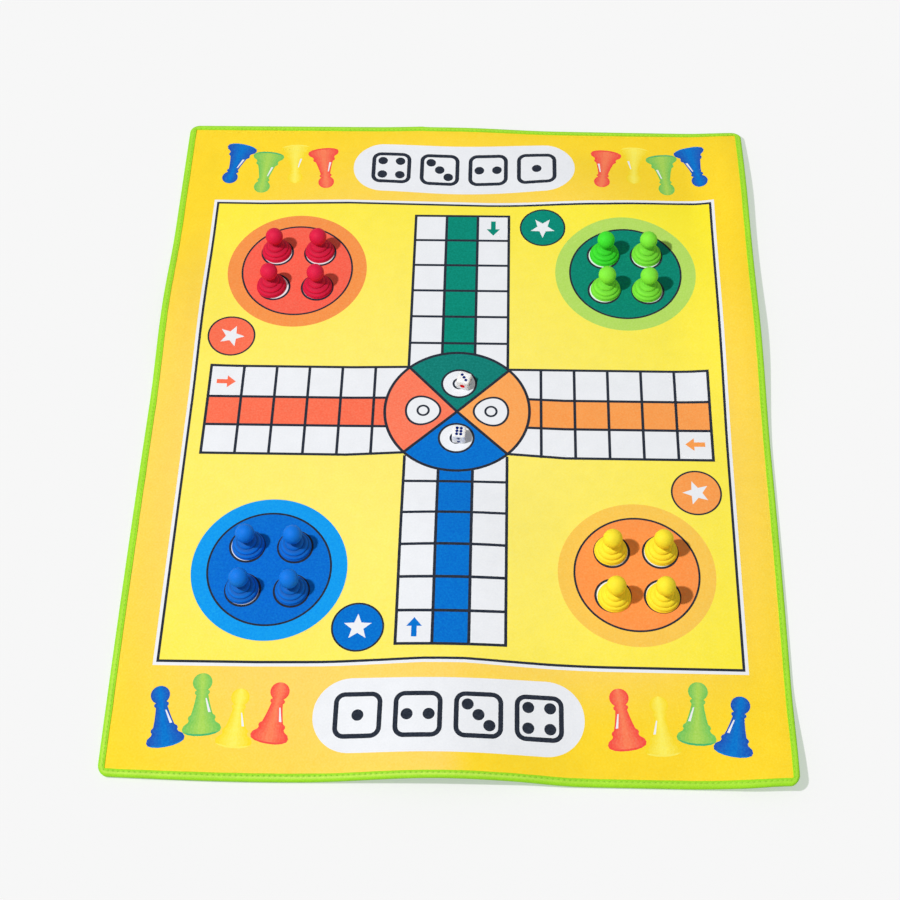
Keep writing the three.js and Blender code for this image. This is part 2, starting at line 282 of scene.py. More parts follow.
def printed_fabric():
    """Brushed polyester: the print comes from the mesh, and its ink is thinner or thicker on the pile."""
    shader = Shader("printed_fabric", 0.95, 0.06)
    thickness = shader.speckle(0.88, 1.12, 520, 3, 0.6)
    ink = shader.attribute("ink", "Color")
    cover = add_node(shader.tree, "ShaderNodeGamma", Color=ink, Gamma=thickness)
    pile = shader.speckle(0.98, 1.015, 640, 2, 0.6)
    cloud = shader.speckle(0.985, 1.015, 70, 2)
    shader.dye(cover.outputs["Color"], shader.product(pile, cloud))
    shader.set("Sheen Weight", 0.02)
    shader.set("Sheen Roughness", 0.6)
    shader.bump(0.35, 0.35 * MM, 900, 4, 0.65)
    return shader.material


def backing_felt():
    shader = Shader("backing_felt", 0.95, 0.2)
    fibre = shader.speckle(0.75, 1.25, 500, 4, 0.7)
    shader.dye(colour(74, 77, 82), fibre)
    shader.bump(0.5, 0.4 * MM, 700, 4, 0.7)
    return shader.material


def woven_tape():
    """Shiny woven tape: darker in the stitch holes, where it is pulled down, as painted shade, and paler in a
    band along its top as a painted sheen.
    """
    shader = Shader("woven_tape", 0.7, 0.2)
    yarn = shader.speckle(0.9, 1.08, 900, 2, 0.5)
    cloud = shader.speckle(0.96, 1.04, 45, 2)
    sheen_patches = shader.spread(shader.noise(9, 1), 0.35, 0.65, 0.7, 1.1)
    # painted sheen: a band mixed towards a paler green, stronger in some patches than in others
    crest_sheen = shader.product(shader.attribute("crest_sheen", "Fac"), sheen_patches)
    dyed = shader.mix("MIX", colour(157, 225, 32), colour(200, 238, 90), crest_sheen)
    # painted shade: the tape is mixed towards a dark green in its stitch holes
    with_hole_shade = shader.mix("MIX", dyed, colour(96, 172, 22), shader.attribute("hole_press_and_shade", "Fac"))
    shader.dye(with_hole_shade, shader.product(yarn, cloud))
    shader.set("Sheen Weight", 0.1)
    shader.bump(0.3, 0.25 * MM, 1300, 3, 0.6)
    return shader.material


def sewing_thread():
    shader = Shader("sewing_thread", 0.6, 0.3)
    twist = shader.speckle(0.85, 1.1, 2200, 2)
    shader.dye(colour(176, 232, 66), twist)
    shader.bump(0.4, 0.15 * MM, 2500, 2)
    return shader.material


def pawn_plastic(name, base, depth):
    """Moulded plastic with a fine matte grain; depth is how much painted shade darkens it in its grooves."""
    shader = Shader(name, 0.6, 0.2)
    # painted shade: darker in the grooves between the tiers and at the neck
    groove_shade = shader.spread(shader.attribute("groove_shade", "Fac"), 0, 1, 1, 1 - depth)
    cloud = shader.speckle(0.96, 1.04, 160, 2)
    grain = shader.speckle(0.94, 1.05, 1100, 3, 0.6)
    shader.dye(base, shader.product(shader.product(cloud, grain), groove_shade))
    shader.set("Roughness", shader.speckle(0.56, 0.74, 1500, 3))
    shader.bump(0.22, 0.12 * MM, 2200, 3, 0.6)
    return shader.material


def die_plastic(name, base, roughness, specular, clear):
    """Polished plastic or paint; clear is how much of the light passes under its skin."""
    shader = Shader(name, roughness, specular)
    cloud = shader.speckle(0.98, 1.02, 250, 2)
    shader.dye(base, cloud)
    shader.set("Roughness", shader.speckle(roughness, roughness + 0.1, 900, 3))
    shader.set("Subsurface Weight", clear)
    shader.set("Subsurface Radius", (5 * MM, 5 * MM, 5 * MM))
    shader.set("Subsurface Scale", 1)
    shader.bump(0.06, 0.1 * MM, 1800, 2)
    return shader.material


def floor_paper():
    """White paper that glows for the camera just enough to look evenly lit, and keeps the shadows."""
    shader = Shader("floor_paper", 0.9, 0.1)
    tree = shader.tree
    even = Vector((BACKDROP_LEVEL,) * 3)
    shader.set("Base Color", (*even, 1))
    # painted reflection: the paper's green tint leaves green from the mat in the floor's shade
    paper = add_node(tree, "ShaderNodeBsdfDiffuse", Color=(*FLOOR_SHADE, 1))
    reach = tree.nodes.new("ShaderNodeVectorMath")
    reach.operation = "DISTANCE"
    feed(tree, reach.inputs[0], shader.place)
    feed(tree, reach.inputs[1], LAMP_PLACE)
    lamp_level = LAMP_POWER / (4 * math.pi ** 2) * LAMP_PLACE.z / LAMP_PLACE.length_squared
    from_lamp = combine(tree, "DIVIDE", FLOOR_SHADE * lamp_level, reach.outputs["Value"])
    missing = combine(tree, "SUBTRACT", even - FLOOR_SHADE * SKY_STRENGTH, from_lamp)
    glow = add_node(tree, "ShaderNodeEmission", Color=missing)
    lit = tree.nodes.new("ShaderNodeAddShader")
    feed(tree, lit.inputs[0], paper.outputs[0])
    feed(tree, lit.inputs[1], glow.outputs[0])
    pick_by_ray(tree, shader.surface.outputs[0], lit.outputs[0], "Material Output")
    return shader.material


# Pieces

def add_piece(name, vertices, faces, materials, body, node):
    """A mesh piece that rides on a body and stands for a CAD node."""
    mesh = bpy.data.meshes.new(name)
    mesh.from_pydata(vertices, [], faces)
    for material in materials:
        mesh.materials.append(material)
    mesh.shade_smooth()
    piece = bpy.data.objects.new(name, mesh)
    scene.collection.objects.link(piece)
    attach(piece, body)
    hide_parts(node)
    return piece


def set_values(piece, name, values):
    """A value for each vertex, which the material reads."""
    piece.data.attributes.new(name, "FLOAT", "POINT").data.foreach_set("value", values)


def ring_faces(first, rings, sides, closed=False):
    """Faces between rings of points from vertex first on; closed also joins the last ring to the first."""
    faces = []
    for index in range(rings if closed else rings - 1):
        low = first + index * sides
        high = first + (index + 1) % rings * sides
        for side in range(sides):
            after = (side + 1) % sides
            faces.append((low + side, low + after, high + after, high + side))
    return faces


floor_mesh = bpy.data.meshes.new("floor")
floor_corners = [(x * FLOOR_REACH, y * FLOOR_REACH, 0) for x, y in [(-1, -1), (1, -1), (1, 1), (-1, 1)]]
floor_mesh.from_pydata(floor_corners, [], [(0, 1, 2, 3)])
floor_mesh.materials.append(floor_paper())
floor = bpy.data.objects.new("floor", floor_mesh)
scene.collection.objects.link(floor)


# How the mat lies: flat under the pawns and dice, rising in soft swells between them.
# Each swell: height, place of its peak, and how far it reaches along X and Y.
SWELLS = [
    (14 * MM, 0, -HALF_LENGTH, PAWN_INNER_X, 260 * MM),
    (9 * MM, 0, -DICE_ZONE_Y - 105 * MM, PAWN_INNER_X, 105 * MM),
    (11.5 * MM, HALF_WIDTH, 110 * MM, HALF_WIDTH - PAWN_OUTER_X, 165 * MM),
    (10 * MM, HALF_WIDTH, 295 * MM, 70 * MM, 165 * MM),
    (9 * MM, -HALF_WIDTH, 125 * MM, HALF_WIDTH - PAWN_OUTER_X, 120 * MM),
    (11 * MM, HALF_WIDTH, -HALF_LENGTH, 110 * MM, 110 * MM),
    (6 * MM, 160 * MM, PAWN_OUTER_Y + 68 * MM, 120 * MM, 68 * MM),
    (3 * MM, 0, HALF_LENGTH, 110 * MM, 90 * MM),
]


def hump(distance, reach):
    share = abs(distance) / reach
    return math.cos(share * math.pi / 2) ** 2 if share < 1 else 0


def swell_at(x, y):
    """Height of the mat's underside above the floor."""
    height = 0
    for peak, peak_x, peak_y, reach_x, reach_y in SWELLS:
        height += peak * hump(x - peak_x, reach_x) * hump(y - peak_y, reach_y)
    return height


def sheet_lift(x, y):
    """The sheets ride up onto the tape that is folded under their edge."""
    inset = min(HALF_WIDTH - abs(x), HALF_LENGTH - abs(y)) - SHEET_INSET
    return swell_at(x, y) + TAPE_LIFT * (1 - smooth(EDGE_BAND, EDGE_BAND + TAPE_RAMP, inset))


def settle(x, y):
    """Where a place of the rectangle really lies, as the border is a little out of square."""
    beside = smooth(HALF_WIDTH - PULL_MARGIN, HALF_WIDTH, abs(x))
    behind = smooth(HALF_LENGTH - PULL_MARGIN, HALF_LENGTH, y)
    ahead = smooth(HALF_LENGTH - PULL_MARGIN, HALF_LENGTH, -y)
    front = max(0, -y - PULL_START) / (HALF_LENGTH - PULL_START)
    right = max(0, x + PULL_START) / (HALF_WIDTH + PULL_START)
    if x > 0:
        across = -FRONT_RIGHT_PULL * front * front
    else:
        across = FRONT_LEFT_PULL * front * front - REAR_LEFT_BULGE * (HALF_LENGTH + y) / (2 * HALF_LENGTH)
    bulge = FRONT_LEFT_BULGE * hump(x - LEFT_BULGE_X, LEFT_BULGE_REACH)
    bulge += FRONT_RIGHT_BULGE * smooth(*RIGHT_BULGE_START, x) * (1 - smooth(*RIGHT_BULGE_END, x))
    along = REAR_RIGHT_PULL * math.sqrt(right) * behind + bulge * ahead
    return x + across * beside, y - along


def arc(centre, radius, start, turn, steps):
    """Points of a circle from a start angle through a turn, both in degrees."""
    points = []
    for step in range(steps + 1):
        angle = math.radians(start + turn * step / steps)
        points.append((centre[0] + radius * math.cos(angle), centre[1] + radius * math.sin(angle)))
    return points


def corner_arcs(centre, reach_x, reach_y, radius, steps):
    """The four corners of a rounded box, anticlockwise; the reaches are those of the arcs' middles."""
    arcs = []
    for quarter, (sign_x, sign_y) in enumerate([(1, 1), (-1, 1), (-1, -1), (1, -1)]):
        middle = (centre[0] + sign_x * reach_x, centre[1] + sign_y * reach_y)
        arcs.append(arc(middle, radius, 90 * quarter, 90, steps))
    return arcs


def ring_at(inset, step):
    """Points all round the mat at an inset from its edge, anticlockwise from above."""
    radius = CORNER_RADIUS + (TAPE_INNER_CORNER_RADIUS - CORNER_RADIUS) * inset / TAPE_WIDTH
    reach = inset + radius
    arcs = corner_arcs((0, 0), HALF_WIDTH - reach, HALF_LENGTH - reach, radius, CORNER_STEPS)
    # The ring starts at the front right corner
    arcs = arcs[3:] + arcs[:3]
    ring = []
    for index, corner in enumerate(arcs):
        ring.extend(corner)
        start = corner[-1]
        end = arcs[(index + 1) % 4][0]
        side = 2 * (HALF_WIDTH if index % 2 else HALF_LENGTH)
        count = round(side / step)
        for place in range(1, count):
            ring.append(blend(start, end, place / count))
    return ring


# Board print. Shapes are polygons in squares from the middle of the board, painted in order.

LINE = 0.085
THIN_LINE = 0.065
HOME_LINE = 0.058
# The frame round the field isn't quite square on the cloth: its corners and bends, anticlockwise
FRAME = [
    (-7.92, -8.07), (-5.2, -8.06), (-3.4, -8.025), (-1.8, -7.975), (-0.7, -7.93), (0.4, -7.925),
    (1.4, -7.97), (2.6, -8.005), (4.2, -8.03), (7.895, -8.045), (7.93, -1), (7.99, 8.065), (7.2, 8.07),
    (6.2, 8.03), (4.6, 7.955), (0.8, 7.93), (-2, 7.985), (-3.7, 8.02), (-6.5, 7.955), (-7.99, 7.965),
]
FRAME_LINE = 0.075
FRAME_STRIPE = 0.09
FRAME_REACH = 7.95
ARM_START = 1.5
ARM_BEND = 3.2
ARM_END = 7.5
# The round middle is a little wider across than along, and reaches further to the rear than to the front
CENTRE = (0, 0.03)
CENTRE_RADIUS = 2.115
CENTRE_RISE = 0.039
CENTRE_WIDENING = 0.04
DIAGONALS = (44, 133.3, 222.8, 316.3)
HOME_RING_RADIUS = 2.2
HOME_DISC_RADIUS = 1.765
SPOT_OFFSET = 0.68
SPOT_RADIUS = 0.52
START_RADIUS = 0.732
START_LINE = 0.052
STAR_RADIUS = 0.4
STAR_INNER_RADIUS = 0.17
# Place of each home spot, and how much it narrows towards +X
HOME_SPOTS = [(0.04, 1.025, 0), (-1.01, 0.06, 0.15), (0, -0.885, 0), (1.01, 0.05, -0.15)]
HOME_SPOT_REACH_X = 0.545
HOME_SPOT_REACH_Y = 0.52
HOME_SPOT_RING = 0.2
BANNER_Y = 9.55
BANNER_LINE = 0.13
# Turn, width and height of each banner, and how far its middle sags towards the board
BANNERS = [(0, 7.2, 2.1, 0), (180, 7.3, 2, 0.137)]
SAG_REACH = 3.1
GROUP_PLACE = (6.0, 9.6)

WHITE = colour(238, 240, 244)
OUTLINE = colour(42, 48, 60)
UNPRINTED = colour(228, 227, 222)
RED = colour(251, 115, 84)
GREEN = colour(6, 138, 118)
BLUE = colour(4, 114, 207)
ORANGE = colour(252, 161, 84)
FIELD_PALE = colour(255, 238, 115)
FIELD_STRONG = colour(255, 238, 41)
BORDER_PALE = colour(255, 216, 104)
BORDER_STRONG = colour(255, 219, 49)


def field(x, y):
    """The yellow field, palest a little left and in front of the middle."""
    return blend(FIELD_PALE, FIELD_STRONG, smooth(1.5, 16.8, math.hypot(x + 2.1, 1.08 * (y + 1.8))))


def border(x, y):
    """The orange border, palest beside the board; the deeper tone at the front right is painted shade, where
    the front swell slopes away from the lamp.
    """
    strong = smooth(6.4, 11.9, math.hypot(x + 0.5, 0.86 * (y + 1.64)))
    # painted shade: deeper ink on the front swell's slope at the right, away from the lamp
    deep = smooth(-0.25, 0.75, x) * smooth(7.25, 10.1, -y)
    return blend(BORDER_PALE, BORDER_STRONG, 1 - (1 - strong) * (1 - deep))


shapes = []


def paint(points, ink):
    across = [point[0] for point in points]
    along = [point[1] for point in points]
    shapes.append((points, ink, min(across), max(across), min(along), max(along)))


def turned(points, degrees, place=(0, 0), scale=1, mirror=1):
    """Points scaled, mirrored across X if mirror is -1, turned, and moved to place."""
    cos = math.cos(math.radians(degrees))
    sin = math.sin(math.radians(degrees))
    moved = []
    for x, y in points:
        x, y = x * scale * mirror, y * scale
        moved.append((place[0] + x * cos - y * sin, place[1] + x * sin + y * cos))
    return moved


def box(x0, y0, x1, y1):
    return [(x0, y0), (x1, y0), (x1, y1), (x0, y1)]


def pairs(points):
    """Each point of a closed outline with the next one."""
    return zip(points, points[1:] + points[:1])


def divided(points, step):
    """The same outline with points along its straight sides, so that it can be bent."""
    fine = []
    for (x0, y0), (x1, y1) in pairs(points):
        count = max(1, math.ceil(math.hypot(x1 - x0, y1 - y0) / step))
        for part in range(count):
            share = part / count
            fine.append((x0 + (x1 - x0) * share, y0 + (y1 - y0) * share))
    return fine


def disc(centre, radius, sides=64):
    return egg(centre, radius, radius, 0, sides)


def egg(centre, reach_x, reach_y, taper, sides=48):
    """An oval that narrows towards +X by its taper."""
    points = []
    for side in range(sides):
        angle = 2 * math.pi * side / sides
        across = math.cos(angle)
        tall = reach_y * (1 - taper * across)
        points.append((centre[0] + reach_x * across, centre[1] + tall * math.sin(angle)))
    return points


def rounded_box(centre, width, height, radius, steps=8):
    return sum(corner_arcs(centre, width / 2 - radius, height / 2 - radius, radius, steps), [])


def paint_frame():
    """A white stripe and a dark line round the field."""
    half = FRAME_LINE / 2
    for grow, ink in ((half + FRAME_STRIPE, WHITE), (half, OUTLINE), (-half, field)):
        paint(turned(FRAME, 0, scale=1 + grow / FRAME_REACH), ink)


def paint_home(centre, ring, inner):
    """One home: a pale ring, an outlined disc and four white spots."""
    paint(disc(centre, HOME_RING_RADIUS, 96), ring)
    paint(disc(centre, HOME_DISC_RADIUS, 96), OUTLINE)
    paint(disc(centre, HOME_DISC_RADIUS - HOME_LINE, 96), inner)
    for across in (-SPOT_OFFSET, SPOT_OFFSET):
        for along in (-SPOT_OFFSET, SPOT_OFFSET):
            spot = (centre[0] + across, centre[1] + along)
            paint(disc(spot, SPOT_RADIUS, 40), OUTLINE)
            paint(disc(spot, SPOT_RADIUS - THIN_LINE, 40), WHITE)


ARROW = [
    (-0.075, 0.29), (-0.075, -0.03), (-0.215, -0.03), (0, -0.29),
    (0.215, -0.03), (0.075, -0.03), (0.075, 0.29),
]
ARROW_PLACE = (1, 7)


def star():
    """Ten points, on two circles in turn."""
    outer = disc((0, 0), STAR_RADIUS, 10)
    inner = disc((0, 0), STAR_INNER_RADIUS, 10)
    return [inner[point] if point % 2 else outer[point] for point in range(10)]


def paint_arm(degrees, lane, sides, lines, start):
    """One arm of the track and its start disc, drawn as the one that runs to +Y and then turned."""
    half = LINE / 2

    def put(points, ink):
        paint(turned(points, degrees), ink)

    def strip(first, last, grow, ink):
        """The part between two of the sides, each straight from the arm's end to its bend and on inwards."""
        left = [(first[0] - grow, ARM_END + grow), (first[0] - grow, ARM_BEND), (first[1] - grow, ARM_START)]
        right = [(last[1] + grow, ARM_START), (last[0] + grow, ARM_BEND), (last[0] + grow, ARM_END + grow)]
        put(left + right, ink)

    strip(sides[0], sides[3], 0, WHITE)
    strip(sides[1], sides[2], 0, lane)
    for side in sides:
        strip(side, side, half, OUTLINE)
    for along in lines:
        put(box(sides[0][0], along - half, sides[3][0], along + half), OUTLINE)
    put(turned(ARROW, 0, ARROW_PLACE), lane)
    put(disc(start, START_RADIUS), OUTLINE)
    put(disc(start, START_RADIUS - START_LINE), lane)
    put(turned(star(), -90, start), WHITE)


def centre_rim(degrees, grow):
    """A point of the round middle's rim, moved out by grow."""
    angle = math.radians(degrees)
    reach = CENTRE_RADIUS + CENTRE_RISE * math.sin(angle) + CENTRE_WIDENING * math.cos(2 * angle) + grow
    return CENTRE[0] + reach * math.cos(angle), CENTRE[1] + reach * math.sin(angle)


def paint_centre(inks):
    """The round middle: four wedges between the diagonals, each with a white home spot."""
    half = LINE / 2
    steps = 32
    paint([centre_rim(90 * step / steps, half) for step in range(4 * steps)], OUTLINE)
    ends = (*DIAGONALS[1:], DIAGONALS[0] + 360)
    for ink, first, last in zip(inks, DIAGONALS, ends):
        rim = [centre_rim(first + (last - first) * step / steps, -half) for step in range(steps + 1)]
        paint([CENTRE, *rim], ink)
    for degrees in DIAGONALS:
        paint(turned(box(0, -half, CENTRE_RADIUS, half), degrees, CENTRE), OUTLINE)
    for x, y, taper in HOME_SPOTS:
        for shrink, ink in ((0, OUTLINE), (THIN_LINE, WHITE)):
            paint(egg((x, y), HOME_SPOT_REACH_X - shrink, HOME_SPOT_REACH_Y - shrink, taper), ink)
        for shrink, ink in ((0, OUTLINE), (THIN_LINE, WHITE)):
            paint(disc((x, y), HOME_SPOT_RING - shrink, 32), ink)


def pip_places(offset, column, row):
    """Places of the pips on the six faces of a die, across and up from the middle of the face."""
    corners = [(-offset, -offset), (offset, offset)]
    other_corners = [(-offset, offset), (offset, -offset)]
    return {
        1: [(0, 0)],
        2: [(-offset, 0), (offset, 0)],
        3: other_corners + [(0, 0)],
        4: corners + other_corners,
        5: corners + other_corners + [(0, 0)],
        6: [(across, up) for across in (-column, column) for up in (-row, 0, row)],
    }


PRINTED_PIPS = pip_places(0.29, 0.22, 0.32)


def paint_banner(degrees, width, height, sag):
    """A white pill with a row of four die faces, drawn as the front one and then turned."""

    def put(points, ink):
        bent = [(x, y + sag * hump(x, SAG_REACH)) for x, y in divided(points, 0.3)]
        paint(turned(bent, degrees), ink)

    put(rounded_box((0, -BANNER_Y), width, height, height / 2 - 0.01, 24), WHITE)
    size, pitch, corner, pip_radius = 1.3, 1.6, 0.3, 0.16
    for index, count in enumerate((1, 2, 3, 4)):
        centre = ((index - 1.5) * pitch, -BANNER_Y)
        inside = size - 2 * BANNER_LINE
        put(rounded_box(centre, size, size, corner), OUTLINE)
        put(rounded_box(centre, inside, inside, corner - BANNER_LINE), WHITE)
        for across, along in PRINTED_PIPS[count]:
            pip = (centre[0] + across, centre[1] + along)
            put(disc(pip, pip_radius, 24), OUTLINE)


def printed_pawn_outline():
    """A printed pawn, 1.72 squares tall, standing on the origin."""
    right = [
        (0.2, -0.045), (0.37, -0.005), (0.49, 0.06), (0.52, 0.15), (0.48, 0.25), (0.37, 0.33),
        (0.345, 0.39), (0.37, 0.44), (0.355, 0.5), (0.29, 0.55), (0.235, 0.74), (0.19, 0.94),
        (0.16, 1.1), (0.2, 1.14), (0.2, 1.2), (0.15, 1.235),
    ]
    head = arc((0, 1.455), 0.265, -55, 290, 16)
    return [(0, -0.055)] + right + head + [(-x, y) for x, y in reversed(right)]


PRINTED_PAWN = printed_pawn_outline()
PRINTED_RIM = [
    (-0.49, 0.06), (-0.37, -0.005), (-0.2, -0.045), (0, -0.055), (0.2, -0.045), (0.37, -0.005),
    (0.49, 0.06), (0.38, 0.045), (0.2, 0.01), (0, 0), (-0.2, 0.01), (-0.38, 0.045),
]
PRINTED_STREAK = [(0.085, 1.0), (0.12, 1.0), (0.235, 0.6), (0.165, 0.6)]

# Printed pawns of one group: place, lean in degrees, scale, and the colours of body, rim and middle
PRINTED_GROUP = [
    ((-0.5, -0.52), 5, 1.0, colour(122, 200, 96), colour(74, 184, 116), colour(170, 216, 92)),
    ((0.36, -0.84), -3, 0.94, colour(252, 222, 48), colour(254, 238, 96), colour(255, 240, 96)),
    ((-1.4, -0.84), 13, 0.98, colour(34, 88, 184), colour(14, 122, 208), colour(10, 118, 206)),
    ((1.28, -0.7), -8, 0.98, colour(248, 84, 74), colour(246, 84, 74), colour(253, 130, 92)),
]
PAWN_SHADES = 5


def paint_group(mirror, degrees):
    """Four printed pawns beside a banner, each lighter towards the middle of its width."""
    for place, lean, scale, body, rim, middle in PRINTED_GROUP:
        layers = []
        for shade in range(PAWN_SHADES):
            narrow = 1 - shade / PAWN_SHADES
            points = [(x * narrow, y) for x, y in PRINTED_PAWN]
            layers.append((points, blend(body, middle, shade / (PAWN_SHADES - 1))))
        layers += [(PRINTED_RIM, rim), (PRINTED_STREAK, WHITE)]
        for points, ink in layers:
            standing = turned(points, lean, place, scale)
            grouped = turned(standing, 0, (-mirror * GROUP_PLACE[0], -GROUP_PLACE[1]), 1, mirror)
            paint(turned(grouped, degrees), ink)


paint_frame()
paint_home((-5.183, 5.25), colour(247, 151, 78), colour(248, 103, 82))
paint_home((5.17, 5.25), colour(185, 223, 102), colour(8, 134, 114))
paint_home((-5.14, -5.24), colour(18, 156, 238), colour(8, 111, 208))
paint_home((5.137, -5.223), colour(252, 203, 86), colour(253, 152, 78))
# The lines along each arm, each at its outer and its inner end, and the lines across it
EVEN_SIDES = ((-1.5, -1.5), (-0.5, -0.5), (0.5, 0.5), (1.5, 1.5))
LEFT_SIDES = ((-1.51, -1.4), (-0.52, -0.51), (0.47, 0.5), (1.57, 1.61))
RIGHT_SIDES = ((-1.55, -1.55), (-0.46, -0.52), (0.535, 0.48), (1.53, 1.41))
EVEN_LINES = (2.5, 3.5, 4.5, 5.5, 6.5, 7.5)
# Turn and ink of each arm, its lines, and the place of its start disc
ARMS = [
    (0, GREEN, EVEN_SIDES, EVEN_LINES, (2.58, 7.04)),
    (90, RED, LEFT_SIDES, EVEN_LINES, (2.66, 7.005)),
    (180, BLUE, EVEN_SIDES, (2.39, 3.46, *EVEN_LINES[2:]), (2.55, 7)),
    (270, ORANGE, RIGHT_SIDES, EVEN_LINES, (2.615, 6.94)),
]
CENTRE_INKS = (colour(17, 127, 117), colour(252, 125, 93), BLUE, colour(253, 168, 91))
for arm in ARMS:
    paint_arm(*arm)
paint_centre(CENTRE_INKS)
for banner in BANNERS:
    paint_banner(*banner)
for degrees in (0, 180):
    for mirror in (1, -1):
        paint_group(mirror, degrees)


def holds(points, x, y):
    """Whether a polygon holds a point."""
    inside = False
    for (x0, y0), (x1, y1) in pairs(points):
        if (y1 > y) != (y0 > y) and x < x0 + (y - y0) / (y1 - y0) * (x1 - x0):
            inside = not inside
    return inside


def ink_at(x, y):
    for points, ink, low_x, high_x, low_y, high_y in reversed(shapes):
        if low_x < x < high_x and low_y < y < high_y and holds(points, x, y):
            return ink
    return border


# Sheets

def spaced(half, step):
    """Even steps from -half to half."""
    count = round(2 * half / step)
    return [-half + 2 * half * index / count for index in range(count + 1)]


def grid_points(step):
    """Points all over the sheet, clear of its outline."""
    margin = SHEET_INSET + step * 0.6
    points = []
    for x in spaced(HALF_WIDTH, step):
        for y in spaced(HALF_LENGTH, step):
            insets = (HALF_WIDTH - abs(x), HALF_LENGTH - abs(y))
            if min(insets) > margin and max(insets) > CORNER_RADIUS:
                points.append((x, y))
    return points


def triangulate(outline, points, polygons):
    """Points and triangles that fill the outline, with an edge along every side of the polygons.

    The third result gives the points of the outline in order."""
    vertices = []
    edges = []
    for shape in [outline] + [divided(polygon, SHEET_STEP) for polygon in polygons]:
        first = len(vertices)
        vertices += [Vector(point) for point in shape]
        edges += pairs(list(range(first, len(vertices))))
    vertices += [Vector(point) for point in points]
    flat, _, faces, sources, *_ = delaunay_2d_cdt(vertices, edges, [], 0, 1e-6)
    place_of = {source: index for index, found in enumerate(sources) for source in found}
    return flat, [list(face) for face in faces], [place_of[index] for index in range(len(outline))]


def sheet_mesh(low, high, polygons):
    """A closed sheet between two heights: its vertices, its faces, and how many of each are on top."""
    outline = ring_at(SHEET_INSET, SHEET_STEP)
    top, top_faces, top_rim = triangulate(outline, grid_points(SHEET_STEP), polygons)
    under, under_faces, under_rim = triangulate(outline, grid_points(2 * SHEET_STEP), [])
    vertices = [(*settle(x, y), sheet_lift(x, y) + high) for x, y in top]
    vertices += [(*settle(x, y), sheet_lift(x, y) + low) for x, y in under]
    offset = len(top)
    faces = top_faces + [[index + offset for index in reversed(face)] for face in under_faces]
    for (under_a, top_a), (under_b, top_b) in pairs(list(zip(under_rim, top_rim))):
        faces.append([offset + under_a, offset + under_b, top_b, top_a])
    return vertices, faces, len(top), len(top_faces)


def sheet_normals(vertices, top_count):
    """Normals of the lie itself, so that the triangles of the print don't show."""
    normals = []
    reach = 0.5 * MM
    for index, (x, y, _) in enumerate(vertices):
        slope_x = (sheet_lift(x + reach, y) - sheet_lift(x - reach, y)) / (2 * reach)
        slope_y = (sheet_lift(x, y + reach) - sheet_lift(x, y - reach)) / (2 * reach)
        normal = Vector((-slope_x, -slope_y, 1)).normalized()
        normals.append(normal if index < top_count else -normal)
    return normals


def add_face():
    polygons = [turned(points, 0, scale=CELL) for points, *_ in shapes]
    vertices, faces, top_count, top_faces = sheet_mesh(BACKING_THICKNESS, SHEET_TOP, polygons)
    piece = add_piece(
        "printed_face", vertices, faces, [printed_fabric()], "mat", "mat_face"
    )
    colours = []
    for index, face in enumerate(faces):
        corners = [(vertices[corner][0] / CELL, vertices[corner][1] / CELL) for corner in face]
        ink = UNPRINTED
        if index < top_faces:
            ink = ink_at(*(sum(values) / 3 for values in zip(*corners)))
        for x, y in corners:
            colours.extend(ink(x, y) if callable(ink) else ink)
    attribute = piece.data.color_attributes.new("ink", "FLOAT_COLOR", "CORNER")
    attribute.data.foreach_set("color", colours)
    piece.data.normals_split_custom_set_from_vertices(sheet_normals(vertices, top_count))
    return piece


def add_backing():
    vertices, faces, *_ = sheet_mesh(0, BACKING_THICKNESS, [])
    return add_piece("felt_backing", vertices, faces, [backing_felt()], "mat", "mat_backing")


# Binding tape: its section runs from under the mat, round the fold, to its sewn edge on top.

def tape_section():
    """Points of the section as (inset from the mat's edge, height), outside first."""
    points = [(7, 0.05), (6.8, 0), (4.5, 0)]
    fold = 2.3
    bulge = 3.1
    for step in range(13):
        angle = math.radians(-90 + 15 * step)
        reach = bulge if step < 6 else TAPE_TOP / MM - bulge
        points.append((fold * (1 - math.cos(angle) ** 0.7), bulge + reach * math.sin(angle)))
    points += [
        (3.2, 5.22), (4, 5.2), (4.7, 5.13), (5.2, 5.06), (5.5, 5.03), (5.8, 5.05), (6.3, 5.08), (6.7, 5.02),
        (6.92, 4.9), (7, 4.72), (6.95, 4.52), (5, 4.5), (3, 4.48), (1.4, 4), (0.8, 2.6), (1.4, 1.2), (3, 0.7),
        (7, 0.6),
    ]
    return [(inset * MM, height * MM) for inset, height in points]


class Ring:
    """Length along the tape at the stitch line, and where its corners are folded."""

    def __init__(self):
        self.points = ring_at(STITCH_INSET, TAPE_STEP)
        self.lengths = [0]
        for (x0, y0), (x1, y1) in pairs(self.points):
            self.lengths.append(self.lengths[-1] + math.hypot(x1 - x0, y1 - y0))
        self.total = self.lengths[-1]
        self.stitches = round(self.total / STITCH_PITCH)
        self.pitch = self.total / self.stitches
        self.folds = self.fold_heights()

    def fold_heights(self):
        """At each corner the tape is folded over itself, and the fold dies out along the next side."""
        reach = 14 * MM
        folds = []
        for corner in range(4):
            folds += [smooth(0.46, 0.56, step / CORNER_STEPS) for step in range(CORNER_STEPS + 1)]
            bend_end = self.lengths[len(folds) - 1]
            side = 2 * (HALF_WIDTH if corner % 2 else HALF_LENGTH)
            for _ in range(1, round(side / TAPE_STEP)):
                folds.append(1 - smooth(0, reach, self.lengths[len(folds)] - bend_end))
        return folds

    def at(self, length):
        """Place, direction and fold at a length along the stitch line."""
        length %= self.total
        index = min(bisect.bisect_right(self.lengths, length) - 1, len(self.points) - 1)
        start = Vector(self.points[index])
        end = Vector(self.points[(index + 1) % len(self.points)])
        share = (length - self.lengths[index]) / (self.lengths[index + 1] - self.lengths[index])
        return start.lerp(end, share), (end - start).normalized(), self.folds[index]


